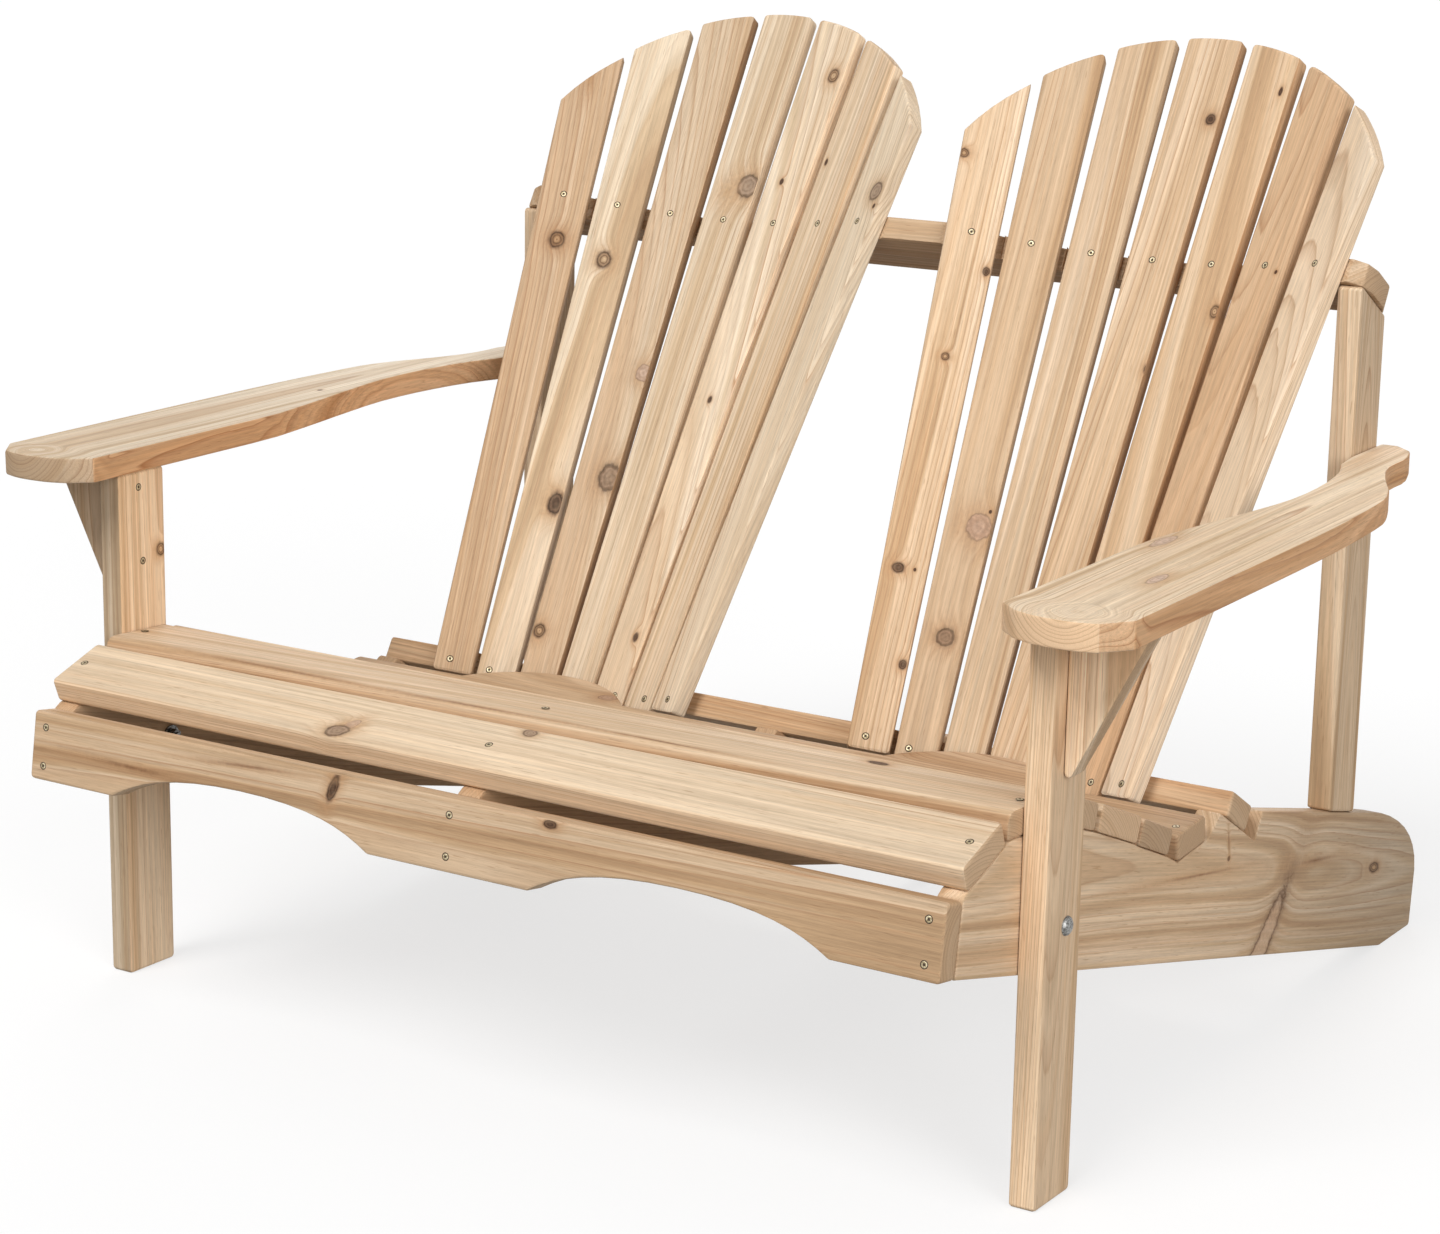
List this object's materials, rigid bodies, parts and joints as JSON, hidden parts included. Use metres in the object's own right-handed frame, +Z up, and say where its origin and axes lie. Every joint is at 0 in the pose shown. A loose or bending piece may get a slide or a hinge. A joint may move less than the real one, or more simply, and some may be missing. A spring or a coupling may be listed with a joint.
{
  "type": "adirondack loveseat",
  "caption": "Cedar adirondack loveseat: fan backs side by side over a sloping slatted seat, with flat arms, raked side rails and a scalloped apron.",
  "frame": {"origin": "centre of the bounding box at floor level, under the middle of the seat", "axes": "+Z up, +Y towards the back, +X along the width"},
  "size_m": [1.3114, 1.1218, 0.9976],
  "materials": {
    "cedar": "unfinished sanded cedar with knots",
    "steel": "zinc plated"
  },
  "bodies": {
    "root": {"side_rail_left": "cedar", "side_rail_centre": "cedar", "side_rail_right": "cedar", "front_leg_left": "cedar", "front_leg_right": "cedar", "leg_bolt_left": "steel", "leg_bolt_right": "steel", "leg_bolt_washer_left": "steel", "leg_bolt_washer_right": "steel", "leg_bolt_nut_left": "steel", "leg_bolt_nut_right": "steel", "apron": "cedar", "seat_slat_1": "cedar", "seat_slat_2": "cedar", "seat_slat_3": "cedar", "seat_slat_4": "cedar", "seat_slat_5": "cedar", "rear_seat_board": "cedar", "back_slat_left_1": "cedar", "back_slat_left_2": "cedar", "back_slat_left_3": "cedar", "back_slat_left_4": "cedar", "back_slat_left_5": "cedar", "back_slat_left_6": "cedar", "back_slat_left_7": "cedar", "back_slat_right_1": "cedar", "back_slat_right_2": "cedar", "back_slat_right_3": "cedar", "back_slat_right_4": "cedar", "back_slat_right_5": "cedar", "back_slat_right_6": "cedar", "back_slat_right_7": "cedar", "lower_back_rail": "cedar", "upper_back_rail": "cedar", "rear_post_left": "cedar", "rear_post_right": "cedar", "arm_left": "cedar", "arm_right": "cedar", "arm_bracket_left": "cedar", "arm_bracket_right": "cedar"}
  },
  "joints": []
}
